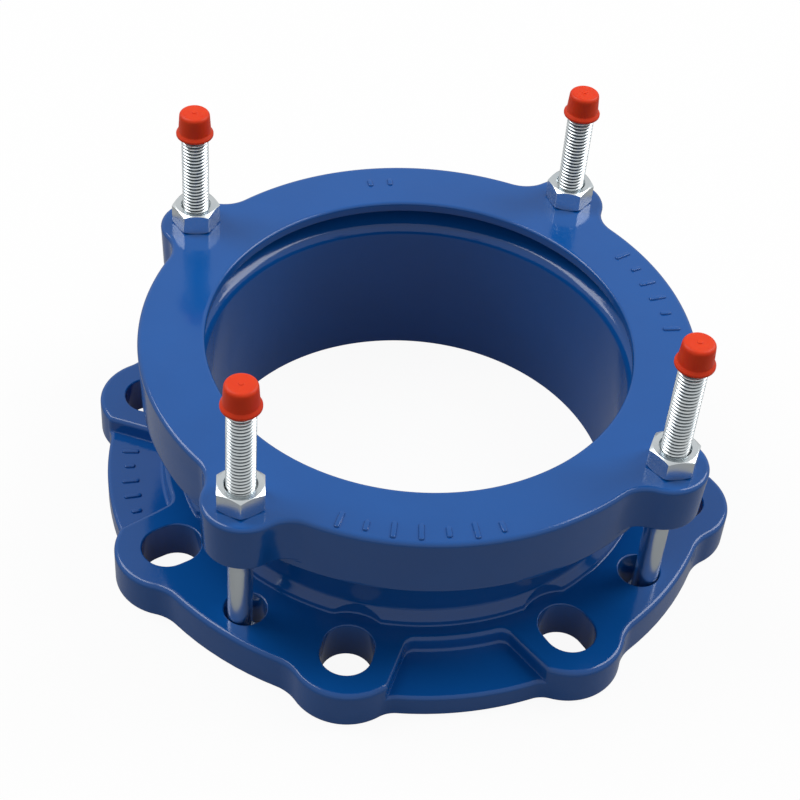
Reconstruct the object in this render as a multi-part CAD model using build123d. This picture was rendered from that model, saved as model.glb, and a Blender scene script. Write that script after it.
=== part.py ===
"""Universal flange adaptor for a 150 mm water main.

A ductile iron body with a drilled and slotted flange, a loose gland ring that
squeezes a rubber gasket into the mouth of the body, four tee-headed studs with
nuts that pull the ring down, and a plastic cap on the end of each stud.

Sizes are in millimetres. +Z runs up the pipe axis and the origin is the centre
of the flange's bolting face. The flange's pockets lie on the X and Y axes and
the studs stand half way between them.
"""
from build123d import *
import os
from math import acos, cos, degrees, radians, sin, tan

# Body: a short barrel with a cone-shaped mouth for the gasket
bore_r = 92.6
barrel_wall = 8.9
barrel_blend = 4.0
hub_step = 3.7
hub_rise = 2.6
hub_shoulder = 3.4
hub_edge_round = 1.2
mouth_step = 5.5
mouth_lip_w = 3.0
mouth_drop = 9.0
mouth_taper = 8.0
mouth_round = 1.4
seat_start_z = 71.1
seat_angle = 30.0
seat_edge_round = 1.6

# Flange: eight bolt pads on a thinner disc, in four pairs with pockets between
pad_t = 18.7
pocket_floor_t = 11.2
hole_count = 8
hole_land = 16.8
slot_w = 22.0
slot_length = 26.0
hole_edge_round = 0.6
pad_r = 24.5
disc_inset = 9.5
stud_side_blend = 18.0
pocket_side_blend = 12.0
pocket_land = 6.8
pocket_flare = 28.0
pocket_step = 0.3
pocket_corner = 5.0
pad_corner = 4.0
pad_edge_round = 2.2
floor_edge_round = 1.8
face_edge_round = 1.2
spot_face_r = 20.0
spot_face_h = 12.0

# Gland ring: an upside-down channel with four lugs
plate_t = 5.3
ring_h = 29.0
ring_draft = 2.0
lug_rise = 5.5
skirt_clear = 5.0
skirt_wall = 9.25
channel_corner = 3.0
lug_r = 17.4
lug_blend = 15.0
lug_foot_round = 2.0
lug_ledge = 0.1
ring_edge_round = 2.0
ring_foot_round = 0.8
rim_round = 1.3

# Gasket: a rubber wedge between the mouth and the ring's plate
gasket_set_back = 7.7
gasket_cover_t = 4.1
gasket_leg_drop = 6.0
gasket_side_gap = 0.4
gasket_round = 1.0
seat_gap = 0.3

# Studs: M12 with a plain shank and a tee head held in a recess of the flange. They reach
# above the ring, each a little more or less than the next
stud_count = 4
stud_outset = 3.15
thread_r = 6.0
shank_relief = 0.7
thread_foot = 2.6
stud_reach = 61.0
stud_offsets = [-3.0, -3.0, 0.0, 3.5]
stud_point = 1.2
head_length = 30.0
head_w = 15.0
head_t = 7.0
head_corner = 3.0
head_edge_round = 0.8
head_inset = 1.0
recess_clear = 1.0
recess_corner = 4.0
stud_hole_r = 9.0
stud_hole_inset = 3.4
lug_hole_clear = 1.0
lug_inset = 1.7

# Nuts, with the angle at which a corner of each one points, and caps
nut_af = 19.0
nut_h = 10.0
nut_chamfer = 30.0
nut_mouth = 0.8
nut_turns = [40.7, 54.9, 23.1, 41.0]
thread_gap = 0.05
cap_drop = 9.5
cap_air = 0.5
cap_end_t = 2.0
cap_top_wall = 0.55
cap_shoulder_wall = 1.15
cap_flare_wall = 2.15
cap_flare_h = 2.2
cap_round = 1.4
cap_lip_round = 0.3

# Radii that follow, from the bore outwards
barrel_r = bore_r + barrel_wall
hub_r = barrel_r + hub_step
mouth_r = barrel_r + mouth_step
seat_end_r = mouth_r - mouth_lip_w
gasket_in_r = bore_r + gasket_set_back
skirt_in_r = mouth_r + skirt_clear
ring_r = skirt_in_r + skirt_wall
stud_circle_r = ring_r + stud_outset
lug_circle_r = stud_circle_r - lug_inset
stud_hole_circle_r = stud_circle_r - stud_hole_inset
pocket_in_r = hub_r + pocket_land
hole_circle_r = hub_r + hole_land
flange_r = hole_circle_r + pad_r - disc_inset
shank_r = thread_r - shank_relief
socket_r = thread_r + thread_gap
lug_hole_r = thread_r + lug_hole_clear

# Heights that follow, from the mouth upwards
seat_slope = tan(radians(seat_angle))
seat_end_z = seat_start_z + (seat_end_r - bore_r) * seat_slope
seat_rise_gap = seat_gap / cos(radians(seat_angle))
plate_under_z = seat_end_z + gasket_cover_t
ring_top_z = plate_under_z + plate_t
ring_low_z = ring_top_z - ring_h
recess_depth = head_t + head_inset
thread_start_z = ring_low_z + thread_foot

# Angles about the pipe axis
half_pitch = 180 / hole_count
hole_angles = [half_pitch * (2 * i + 1) for i in range(hole_count)]
pocket_angles = [360 / stud_count * i for i in range(stud_count)]
stud_angles = [360 / stud_count * (i + 0.5) for i in range(stud_count)]


def meet_angle(disc_r, circle_r, boss_r):
    """Angle between a boss on a circle and the point where its flank leaves the disc."""
    cosine = (disc_r**2 + circle_r**2 - boss_r**2) / (2 * disc_r * circle_r)
    return degrees(acos(cosine))


pad_meet = half_pitch - meet_angle(flange_r, hole_circle_r, pad_r)
lug_meet = meet_angle(ring_r, lug_circle_r, lug_r)


def around(radius, angle, z=0.0):
    """A place on a circle about the pipe axis, turned to face outwards."""
    return Rot(Z=angle) * Pos(radius, 0, z)


def polar(radius, angle):
    """A point on a circle about the pipe axis."""
    return Vector(radius * cos(radians(angle)), radius * sin(radians(angle)))


def round_corners(sketch, radius, centres, spread, disc_r):
    """Round the sketch's corners that lie on the disc at an angle each side of every centre."""
    corners = sketch.vertices()
    spots = [polar(disc_r, centre + side * spread) for centre in centres for side in (-1, 1)]
    return fillet([corners.sort_by_distance(spot)[0] for spot in spots], radius)


def turned(points, rounds):
    """A solid of revolution about the pipe axis from a half section, with rounded corners."""
    face = make_face(Polyline(*points, close=True))
    for point, radius in zip(points, rounds):
        if radius > 0:
            corner = face.vertices().sort_by_distance((*point, 0))[0]
            face = fillet(corner, radius)
    return revolve(Plane.XZ * face, Axis.Z)


def holes():
    """The bolt slots and the studs' holes, seen from above."""
    slot = SlotOverall(slot_length, slot_w)
    hole = Circle(stud_hole_r)
    slots = [around(hole_circle_r, angle) * slot for angle in hole_angles]
    return slots + [around(stud_hole_circle_r, angle) * hole for angle in stud_angles]


def flange_outline():
    """The disc and its pads, with wide blends where a pad's flank leaves the disc."""
    outline = Circle(flange_r)
    for angle in hole_angles:
        outline += around(hole_circle_r, angle) * Circle(pad_r)
    outline = round_corners(outline, stud_side_blend, stud_angles, pad_meet, flange_r)
    outline = round_corners(outline, pocket_side_blend, pocket_angles, pad_meet, flange_r)
    for shape in holes():
        outline -= shape
    return outline


def pocket_shape():
    """One pocket seen from above: it flares outwards and is open at the flange's edge."""
    flare = tan(radians(pocket_flare))
    rim = polar(flange_r, pad_meet)
    start = pocket_in_r - pad_r / 2
    reach = flange_r + pad_r
    near = rim.Y + pocket_step - (rim.X - start) * flare
    far = rim.Y + pocket_step + (reach - rim.X) * flare
    wedge = Polygon((start, -near), (start, near), (reach, far), (reach, -far), align=None)
    wedge -= Circle(pocket_in_r)
    return fillet(wedge.vertices().group_by(Axis.X)[0], pocket_corner)


def flange_disc():
    """The thin disc that runs under the pockets, its upper edge rounded."""
    disc = extrude(flange_outline(), pocket_floor_t)
    return fillet(disc.faces().sort_by(Axis.Z)[-1].outer_wire().edges(), floor_edge_round)


def flange_pads():
    """The thick part of the flange: the same outline less the pockets, all edges rounded."""
    outline = flange_outline()
    for angle in pocket_angles:
        outline -= Rot(Z=angle) * pocket_shape()
    outline = round_corners(outline, pad_corner, pocket_angles, pad_meet, flange_r)
    pads = extrude(outline, pad_t)
    pads = fillet(pads.faces().sort_by(Axis.Z)[-1].outer_wire().edges(), pad_edge_round)
    rims = pads.faces().sort_by(Axis.Z)[-1].inner_wires()
    return fillet([edge for rim in rims for edge in rim.edges()], hole_edge_round)


def barrel():
    """The tube of the body, with its hub at the flange and its cone-shaped mouth."""
    points = [
        (bore_r, 0),
        (hub_r, 0),
        (hub_r, pad_t + hub_rise),
        (barrel_r, pad_t + hub_rise + hub_shoulder),
        (barrel_r, seat_end_z - mouth_drop - mouth_taper),
        (mouth_r, seat_end_z - mouth_drop),
        (mouth_r, seat_end_z),
        (seat_end_r, seat_end_z),
        (bore_r, seat_start_z),
    ]
    rounds = [0, 0, hub_edge_round, barrel_blend, barrel_blend, barrel_blend,
              mouth_round, mouth_round, seat_edge_round]
    return turned(points, rounds)


def flange_body():
    """The casting: flange and barrel in one, with the recesses for the studs' heads."""
    body = flange_disc() + flange_pads()
    body = fillet(body.faces().sort_by(Axis.Z)[0].outer_wire().edges(), face_edge_round)
    hub = barrel()
    for angle in hole_angles:
        hub -= around(hole_circle_r, angle, pad_t) * extrude(Circle(spot_face_r), spot_face_h)
    body += hub
    recess = RectangleRounded(head_w + 2 * recess_clear, head_length + 2 * recess_clear, recess_corner)
    for angle in stud_angles:
        body -= around(stud_circle_r, angle) * extrude(recess, recess_depth)
    return body - extrude(Circle(bore_r), pad_t)


def gland_ring():
    """The loose ring: a flat plate with a deep skirt and four lugs that end above its foot."""
    outline = Circle(ring_r)
    for angle in stud_angles:
        outline += around(lug_circle_r, angle) * Circle(lug_r)
    outline = round_corners(outline, lug_blend, stud_angles, lug_meet, ring_r)
    downwards = Plane((0, 0, ring_top_z), x_dir=(1, 0, 0), z_dir=(0, 0, -1))
    ring = extrude(downwards * outline, ring_h, taper=ring_draft)
    ring = fillet(ring.faces().sort_by(Axis.Z)[-1].edges(), ring_edge_round)
    foot_r = ring_r - ring_h * tan(radians(ring_draft)) + lug_ledge
    waist_r = foot_r + lug_rise * tan(radians(ring_draft))
    waist_z = ring_low_z + lug_rise
    under_lugs = [
        (foot_r - skirt_wall / 2, ring_low_z),
        (foot_r, ring_low_z),
        (waist_r, waist_z),
        (waist_r + 2 * lug_r, waist_z),
        (waist_r + 2 * lug_r, ring_low_z - plate_t),
        (foot_r - skirt_wall / 2, ring_low_z - plate_t),
    ]
    ring -= turned(under_lugs, [0, ring_foot_round, lug_foot_round, 0, 0, 0])
    hollow = [
        (0, ring_low_z),
        (skirt_in_r, ring_low_z),
        (skirt_in_r, plate_under_z),
        (bore_r, plate_under_z),
        (bore_r, ring_top_z),
        (skirt_in_r, ring_top_z),
        (skirt_in_r, ring_top_z + plate_t),
        (0, ring_top_z + plate_t),
    ]
    ring -= turned(hollow, [0, 0, channel_corner, rim_round, rim_round, 0, 0, 0])
    for angle in stud_angles:
        ring -= around(stud_circle_r, angle, ring_low_z) * extrude(Circle(lug_hole_r), ring_h)
    return ring


def sealing_gasket():
    """The rubber ring: a wedge on the mouth's cone with a skirt outside the mouth."""
    in_z = seat_start_z + (gasket_in_r - bore_r) * seat_slope + seat_rise_gap
    out_r = skirt_in_r - gasket_side_gap
    leg_z = seat_end_z - gasket_leg_drop
    top_z = plate_under_z - seat_gap
    points = [
        (gasket_in_r, in_z),
        (seat_end_r, seat_end_z + seat_rise_gap),
        (mouth_r + seat_gap, seat_end_z + seat_rise_gap),
        (mouth_r + seat_gap, leg_z),
        (out_r, leg_z),
        (out_r, top_z),
        (gasket_in_r, top_z),
    ]
    rounds = [gasket_round, 0, 0, gasket_round, gasket_round, channel_corner, gasket_round]
    return turned(points, rounds)


def tee_bolt(top_z):
    """One stud on the Z axis: tee head, plain shank and threaded end."""
    points = [
        (0, recess_depth - head_t),
        (shank_r, recess_depth - head_t),
        (shank_r, thread_start_z - (thread_r - shank_r)),
        (thread_r, thread_start_z),
        (thread_r, top_z - stud_point),
        (thread_r - stud_point, top_z),
        (0, top_z),
    ]
    stem = turned(points, [0] * len(points))
    head = extrude(RectangleRounded(head_w, head_length, head_corner), head_t)
    head = fillet(head.faces().sort_by(Axis.Z)[0].edges(), head_edge_round)
    return stem + Pos(0, 0, recess_depth - head_t) * head


def hex_nut(turn):
    """One nut on the Z axis with a corner at the given angle, its corners chamfered."""
    flat_r = nut_af / 2
    corner_r = flat_r / cos(radians(30))
    drop = (corner_r - flat_r) * tan(radians(nut_chamfer))
    nut = extrude(RegularPolygon(flat_r, 6, major_radius=False), nut_h)
    blank = [
        (socket_r, nut_mouth),
        (socket_r + nut_mouth, 0),
        (flat_r, 0),
        (corner_r, drop),
        (corner_r, nut_h - drop),
        (flat_r, nut_h),
        (socket_r + nut_mouth, nut_h),
        (socket_r, nut_h - nut_mouth),
    ]
    return Rot(Z=turn) * (nut & turned(blank, [0] * len(blank)))


def thread_cap():
    """One plastic cap on the Z axis, for a stud that ends at zero: a sleeve with a flared mouth."""
    flare_z = cap_flare_h - cap_drop
    outer = [
        (0, -cap_drop),
        (socket_r + cap_flare_wall, -cap_drop),
        (socket_r + cap_flare_wall, flare_z - cap_flare_h / 2),
        (socket_r + cap_shoulder_wall, flare_z),
        (socket_r + cap_top_wall, cap_air + cap_end_t),
        (0, cap_air + cap_end_t),
    ]
    inner = [
        (0, -cap_drop),
        (socket_r, -cap_drop),
        (socket_r, cap_air),
        (0, cap_air),
    ]
    return turned(outer, [0, cap_lip_round, 0, 0, cap_round, 0]) - turned(inner, [0] * len(inner))


def write(name, shape):
    """Each piece goes to its own file, named after it."""
    export_step(shape, f"parts/{name}.step")
    print(name, round(shape.volume), "mm3")


if __name__ == "__main__":
    os.makedirs("parts", exist_ok=True)
    write("flange_body", flange_body())
    write("gland_ring", gland_ring())
    write("sealing_gasket", sealing_gasket())
    for i, angle in enumerate(stud_angles):
        top_z = ring_top_z + stud_reach + stud_offsets[i]
        seat = around(stud_circle_r, angle, ring_top_z)
        write(f"tee_bolt_{i + 1}", around(stud_circle_r, angle) * tee_bolt(top_z))
        write(f"hex_nut_{i + 1}", seat * hex_nut(nut_turns[i] - angle))
        write(f"thread_cap_{i + 1}", around(stud_circle_r, angle, top_z) * thread_cap())
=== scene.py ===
# %% [markdown]
# # A flange adaptor for a water main
#
# The object is two blue iron castings, four zinc-plated studs with nuts, four red
# thread caps and a hidden rubber gasket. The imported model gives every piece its
# place, and this file gives the pieces the surface that the real ones have: soft
# cast edges under a thick coating, rolled threads and moulded plastic.

# %% Load the frame
import math

import bpy
import numpy as np
from mathutils import Matrix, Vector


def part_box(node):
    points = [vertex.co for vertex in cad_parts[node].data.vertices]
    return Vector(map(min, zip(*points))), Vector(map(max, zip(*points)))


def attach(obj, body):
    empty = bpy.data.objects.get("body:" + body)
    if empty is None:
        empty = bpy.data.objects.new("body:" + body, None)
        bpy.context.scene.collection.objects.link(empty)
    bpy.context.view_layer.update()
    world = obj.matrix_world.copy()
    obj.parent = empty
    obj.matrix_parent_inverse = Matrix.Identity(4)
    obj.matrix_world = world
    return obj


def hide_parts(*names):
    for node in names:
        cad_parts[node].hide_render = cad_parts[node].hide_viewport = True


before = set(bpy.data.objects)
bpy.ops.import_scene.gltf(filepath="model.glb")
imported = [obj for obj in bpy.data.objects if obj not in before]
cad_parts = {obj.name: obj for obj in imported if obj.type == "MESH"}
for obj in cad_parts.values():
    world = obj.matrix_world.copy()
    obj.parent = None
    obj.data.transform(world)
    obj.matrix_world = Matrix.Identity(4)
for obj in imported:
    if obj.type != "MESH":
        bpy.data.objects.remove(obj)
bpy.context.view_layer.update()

MM = 0.001

# %% [markdown]
# ## Helpers for surfaces
#
# Almost every piece here is a surface of rows and columns: a closed curve seen from
# above is carried through a list of offsets and heights. One function turns such a
# grid of points into a mesh, and another turns a list of corners into a line with
# true arcs at its corners. Working with whole arrays keeps the code short and fast.

# %% Arcs, rounded lines and closed curves


def arc(centre, start, end, count):
    """Points of the shorter arc about a centre. With a the angle between the first and
    last spoke, the spoke at t is (sin((1 - t) a) first + sin(t a) last) / sin(a)."""
    centre, start, end = (np.array(p, float) for p in (centre, start, end))
    first, last = start - centre, end - centre
    a = math.acos(np.clip(first @ last / np.linalg.norm(first) / np.linalg.norm(last), -1, 1))
    t = np.linspace(0, 1, count)[:, None]
    return centre + (np.sin((1 - t) * a) * first + np.sin(t * a) * last) / math.sin(a)


def rounded_line(corners, rounds, steps=6):
    """A line through the corners, each one replaced by the arc of its rounding radius r
    that touches both sides: its centre is r / sin(half the corner's angle) away on the
    line that halves the corner, and it touches r / tan(half) along each side."""
    corners = [np.array(c, float) for c in corners]
    out = [corners[0][None, :]]
    for last, p, following, r in zip(corners, corners[1:], corners[2:], rounds[1:]):
        if r == 0:
            out.append(p[None, :])
            continue
        back = (last - p) / np.linalg.norm(last - p)
        on = (following - p) / np.linalg.norm(following - p)
        half = math.acos(back @ on) / 2
        middle = (back + on) / np.linalg.norm(back + on)
        touch = r / math.tan(half)
        out.append(arc(p + middle * r / math.sin(half), p + back * touch, p + on * touch, steps))
    return np.vstack(out + [corners[-1][None, :]])


def rounded_loop(corners, radius, steps=6):
    """A closed curve through the corners, each rounded by the radius."""
    around = [corners[-1], *corners, corners[0]]
    return rounded_line(around, [radius] * len(around), steps)[1:-1]


def split_long(line, longest):
    """The same line with points added, so that no step is longer than the given one."""
    steps = np.linalg.norm(np.diff(line, axis=0), axis=1)
    counts = np.maximum(1, np.ceil(steps / longest).astype(int))
    parts = [line[i] + (line[i + 1] - line[i]) * np.arange(n)[:, None] / n
             for i, n in enumerate(counts)]
    return np.vstack(parts + [line[-1:]])


def polar(radius, degrees):
    """Points at a radius and a direction about the pipe's axis."""
    angle = np.radians(degrees)
    return np.stack([radius * np.cos(angle), radius * np.sin(angle)], -1)


print("a rounded square has", len(rounded_loop([(1, 1), (-1, 1), (-1, -1), (1, -1)], 0.2)), "points")

# %% Rows of points


def at_height(curve, z):
    """Lift a flat curve to a height, which may differ from point to point."""
    return np.column_stack([curve, np.broadcast_to(z, len(curve))])


def inset(curve, depth):
    """The closed curve, run anticlockwise, moved inwards square to itself."""
    along = np.roll(curve, -1, 0) - np.roll(curve, 1, 0)
    along /= np.linalg.norm(along, axis=1, keepdims=True)
    inwards = np.stack([-along[:, 1], along[:, 0]], -1)
    return curve + inwards * np.broadcast_to(depth, len(curve))[:, None]


def at_radius(curve, radius):
    """For each point of the curve, the point in the same direction at the given radius."""
    unit = curve / np.linalg.norm(curve, axis=1, keepdims=True)
    return unit * np.broadcast_to(radius, len(curve))[:, None]


def between(inner, outer, z, count):
    """Rows on the plane at height z that go evenly from one closed curve to another."""
    return [at_height(inner * (1 - s) + outer * s, z) for s in np.linspace(0, 1, count)]


def turned_rows(directions, line):
    """One circular row, in the columns' directions, for each radius and height of a line."""
    return [at_height(at_radius(directions, r), z) for r, z in line]


def circle(radius, columns):
    """A closed circle of evenly spaced points about the axis."""
    return polar(radius, np.arange(columns) * 360 / columns)


def turned_to(curve, radius, angle):
    """A flat curve about the origin moved out to a radius and turned to a direction."""
    x, y = (curve + (radius, 0)).T
    c, s = math.cos(math.radians(angle)), math.sin(math.radians(angle))
    return np.column_stack([x * c - y * s, x * s + y * c])


def placed(rows, radius, angle, turn=0.0):
    """Rows about the Z axis, turned about it and moved out to a place round the pipe."""
    rows = np.array(rows, float)
    flat = turned_to(turned_to(rows[..., :2].reshape(-1, 2), 0, turn), radius, angle)
    return np.concatenate([flat.reshape(*rows.shape[:2], 2), rows[..., 2:]], -1)


def step_rows(upper, lower, z, first, second, level=3):
    """Rows, each a flat curve and its heights, from an upper wall's curve across a step at
    height z to a lower wall's curve. The bends are quarter circles: at angle a the first is
    first (1 - cos a) across and first (1 - sin a) above z, and the second is the same turned
    over. Where the curves are nearer than both bends, the bends shrink with the distance,
    and where they meet the rows run straight down."""
    across = lower - upper
    width = np.linalg.norm(across, axis=1)
    unit = across / np.maximum(width, 1e-6)[:, None]
    share = np.clip(width / (first + second), 0, 1)
    turn = np.linspace(0, math.pi / 2, 6)
    flat = np.linspace(0, 1, level + 2)[1:-1]
    bends = [(share * first * (1 - math.cos(a)), share * first * (1 - math.sin(a))) for a in turn]
    bends += [(share * first + (width - share * (first + second)) * s, 0 * share) for s in flat]
    bends += [(width - share * second * (1 - math.sin(a)), -share * second * (1 - math.cos(a)))
              for a in turn]
    steady = np.linspace(first, -second, len(bends))
    return [(upper + unit * x[:, None], z + share * rise + (1 - share) * s)
            for (x, rise), s in zip(bends, steady)]


print("rows across a step:", len(step_rows(circle(10, 8), circle(12, 8), 0, 0.5, 0.5)))

# %% Rows to meshes


def skin(rows, closed=False):
    """Points, quads and end fans of a surface through rows, each row a closed loop. Rows
    run up the outside, with a fan at each end. A closed surface's rows run up the inside
    and down the outside, and its last row joins its first."""
    grid = np.array(rows, float)[::-1 if closed else 1]
    count, cols = grid.shape[:2]
    r = np.arange(count if closed else count - 1)[:, None]
    c = np.arange(cols)[None, :]
    on, up = (c + 1) % cols, (r + 1) % count * cols
    quads = np.stack([r * cols + c, r * cols + on, up + on, up + c], -1).reshape(-1, 4)
    points = grid.reshape(-1, 3)
    if closed:
        return points, quads, np.empty((0, 3), int)
    low, high = np.arange(cols), np.arange(cols) + (count - 1) * cols
    tip = np.full(cols, len(points))
    foot_fan = np.stack([np.roll(low, -1), low, tip], -1)
    head_fan = np.stack([high, np.roll(high, -1), tip + 1], -1)
    points = np.vstack([points, grid[0].mean(0), grid[-1].mean(0)])
    return points, quads, np.vstack([foot_fan, head_fan])


def make_mesh(name, *skins):
    """One mesh in metres from the points, quads and fans of one or more surfaces."""
    shifts = np.cumsum([0] + [len(points) for points, _, _ in skins])
    faces = []
    for (_, quads, fans), shift in zip(skins, shifts):
        faces += (quads + shift).tolist() + (fans + shift).tolist()
    mesh = bpy.data.meshes.new(name)
    mesh.from_pydata((np.vstack([s[0] for s in skins]) * MM).tolist(), [], faces)
    return mesh


print("a drum's points, quads and fans:",
      [len(part) for part in skin([at_height(circle(5, 12), z) for z in (0, 1, 2)])])

# %% [markdown]
# ## Pieces in the scene
#
# A finished mesh is put at the origin, shaded smooth up to a given edge angle, given
# its material and tied to the body that carries it. Holes are cut afterwards with a
# closed tool, as a drill would, because a hole in a casting crosses many rows of its
# grid. A last modifier weighs the normals by face area, which keeps flat faces flat
# right up to a rounded edge.

# %% Adding and cutting pieces


def smooth(piece, sharp_above):
    """Shade a piece smooth, except at edges that turn more than an angle in degrees."""
    piece.data.polygons.foreach_set("use_smooth", [True] * len(piece.data.polygons))
    piece.data.set_sharp_from_angle(angle=math.radians(sharp_above))
    return piece


def add_piece(name, mesh, material, body, node=None, sharp_above=42):
    """Show a mesh as a piece that rides on a body and may stand for a CAD node."""
    piece = bpy.data.objects.new(name, mesh)
    bpy.context.scene.collection.objects.link(piece)
    mesh.materials.append(material)
    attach(piece, body)
    if node:
        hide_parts(node)
    return smooth(piece, sharp_above)


def cut(piece, tools, sharp_above=42):
    """Cut closed tools, which don't touch each other, out of a piece."""
    tool = bpy.data.objects.new("tool", make_mesh("tool", *tools))
    bpy.context.scene.collection.objects.link(tool)
    step = piece.modifiers.new("cut", "BOOLEAN")
    step.operation, step.solver, step.object = "DIFFERENCE", "EXACT", tool
    seen = piece.evaluated_get(bpy.context.evaluated_depsgraph_get())
    result = bpy.data.meshes.new_from_object(seen)
    piece.modifiers.remove(step)
    piece.data = result
    bpy.data.objects.remove(tool)
    return smooth(piece, sharp_above)


def keep_flats(piece):
    """Weigh the normals by face area, so that a big flat face stays flat at its edges."""
    weigh = piece.modifiers.new("flat_faces", "WEIGHTED_NORMAL")
    weigh.keep_sharp = True
    return piece


# %% [markdown]
# ## Colours and nodes
#
# Colours are written as the hex values that a colour picker shows, and one function
# turns them to the linear values that the renderer works in. Another adds a node with
# its settings and links in one line, so that a material reads as a list.

# %% Colour and node helpers


def linear(hex_colour):
    """Linear red, green, blue and alpha of an sRGB hex colour."""
    srgb = np.array([int(hex_colour[i:i + 2], 16) for i in (1, 3, 5)]) / 255
    rgb = np.where(srgb <= 0.04045, srgb / 12.92, ((srgb + 0.055) / 1.055) ** 2.4)
    return (*rgb.tolist(), 1.0)


def add_node(tree, kind, settings=None, inputs=None):
    """Add a node with its settings. Each input, by name or number, is a value or a socket."""
    node = tree.nodes.new("ShaderNode" + kind)
    for key, value in (settings or {}).items():
        setattr(node, key, value)
    for key, value in (inputs or {}).items():
        if isinstance(value, bpy.types.NodeSocket):
            tree.links.new(value, node.inputs[key])
        else:
            node.inputs[key].default_value = value
    return node


def start_material(name):
    """A new material, its node tree, and the socket of a point's place on the object."""
    material = bpy.data.materials.new(name)
    material.use_nodes = True
    material.node_tree.nodes.clear()
    place = add_node(material.node_tree, "TexCoord").outputs["Object"]
    return material, material.node_tree, place


def scale_of(size_mm):
    """Noise scale that makes lumps about this many millimetres wide."""
    return 1 / (size_mm * MM)


print("blue of the coating, linear:", [round(v, 3) for v in linear("#0B509A")[:3]])

# %% [markdown]
# ## Fusion-bonded epoxy on ductile iron
#
# The castings are blasted, heated and dipped in blue epoxy powder, which melts into a
# thick gloss coat. It could be one flat colour with a gloss, but the eye reads the
# casting through the coat. A sand casting is never quite flat, its grain is softened
# to low bumps a few millimetres wide, and the coat itself sets with a fine orange
# peel. Three noises make these three scales, each bump feeding the next, and a fourth
# shifts the tint and the roughness a little where the coat is thinner.

# %% Coated iron
PATCH_MM = 30.0
WAVE_MM = 16.0
GRAIN_MM = 4.0
PEEL_MM = 1.1


def coated_iron():
    """Gloss blue coat: deep blue base, roughness about 0.12, three scales of bump."""
    material, tree, place = start_material("epoxy_coated_ductile_iron")
    patches = add_node(tree, "TexNoise", inputs={
        "Vector": place, "Scale": scale_of(PATCH_MM), "Detail": 3.0})
    wave = add_node(tree, "TexNoise", inputs={
        "Vector": place, "Scale": scale_of(WAVE_MM), "Detail": 0.0})
    grain = add_node(tree, "TexNoise", inputs={
        "Vector": place, "Scale": scale_of(GRAIN_MM), "Detail": 2.0})
    peel = add_node(tree, "TexNoise", inputs={
        "Vector": place, "Scale": scale_of(PEEL_MM), "Detail": 1.0})
    tint = add_node(tree, "Mix", {"data_type": "RGBA"},
                    {0: patches.outputs[0], 6: linear("#0B509A"), 7: linear("#0F58A6")})
    gloss = add_node(tree, "MapRange", inputs={
        "Value": patches.outputs[0], "To Min": 0.09, "To Max": 0.16})
    sway = add_node(tree, "Bump", inputs={
        "Strength": 0.5, "Distance": 0.4 * MM, "Height": wave.outputs[0]})
    low = add_node(tree, "Bump", inputs={
        "Strength": 0.4, "Distance": 0.1 * MM, "Height": grain.outputs[0], "Normal": sway.outputs[0]})
    fine = add_node(tree, "Bump", inputs={
        "Strength": 0.3, "Distance": 0.01 * MM, "Height": peel.outputs[0], "Normal": low.outputs[0]})
    coat = add_node(tree, "BsdfPrincipled", inputs={
        "Base Color": tint.outputs[2], "Roughness": gloss.outputs[0], "IOR": 1.5,
        "Normal": fine.outputs[0]})
    add_node(tree, "OutputMaterial", inputs={"Surface": coat.outputs[0]})
    return material


iron = coated_iron()
print(iron.name)

# %% [markdown]
# ## Bright zinc plate, rubber and cap plastic
#
# Studs and nuts are steel with a thin bright zinc plate. It is a metal, so its colour
# is its reflection: a pale, cool grey that clouds a little where the passivation is
# thicker. The roots of the threads get painted shade, a darker grey by depth, and an
# attribute on the studs tells the material where those are. The gasket is moulded
# rubber, nearly black and matt. The caps are soft polyethylene, which lets a little light in, so it
# glows orange.

# %% Zinc, rubber and plastic
BLOOM_MM = 9.0
RUBBER_GRAIN_MM = 1.2
CLOUD_MM = 6.0
CAP_GRAIN_MM = 1.4
CAP_GLOW_MM = 3.0


def zinc_plate():
    """Bright zinc: pale cool metal, roughness about 0.25, with a faint bloom. The attribute
    groove, 0 on a crest and 1 at a root, paints shade into the thread roots as a dark grey."""
    material, tree, place = start_material("bright_zinc_plated_steel")
    bloom = add_node(tree, "TexNoise", inputs={
        "Vector": place, "Scale": scale_of(BLOOM_MM), "Detail": 1.0})
    plate_tint = add_node(tree, "Mix", {"data_type": "RGBA"},
                          {0: bloom.outputs[0], 6: linear("#D6E0E6"), 7: linear("#E6EAEA")})
    groove = add_node(tree, "Attribute", {"attribute_name": "groove"})
    # Painted shade: the thread roots blend towards dark grey as their depth grows.
    painted_root_shade = add_node(tree, "MapRange", inputs={
        "Value": groove.outputs["Fac"], "From Min": 0.3, "From Max": 0.75})
    tint = add_node(tree, "Mix", {"data_type": "RGBA"},
                    {0: painted_root_shade.outputs[0], 6: plate_tint.outputs[2], 7: linear("#3A4348")})
    gloss = add_node(tree, "MapRange", inputs={
        "Value": bloom.outputs[0], "To Min": 0.22, "To Max": 0.28})
    plate = add_node(tree, "BsdfPrincipled", inputs={
        "Base Color": tint.outputs[2], "Metallic": 1.0, "Roughness": gloss.outputs[0]})
    add_node(tree, "OutputMaterial", inputs={"Surface": plate.outputs[0]})
    return material


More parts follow.
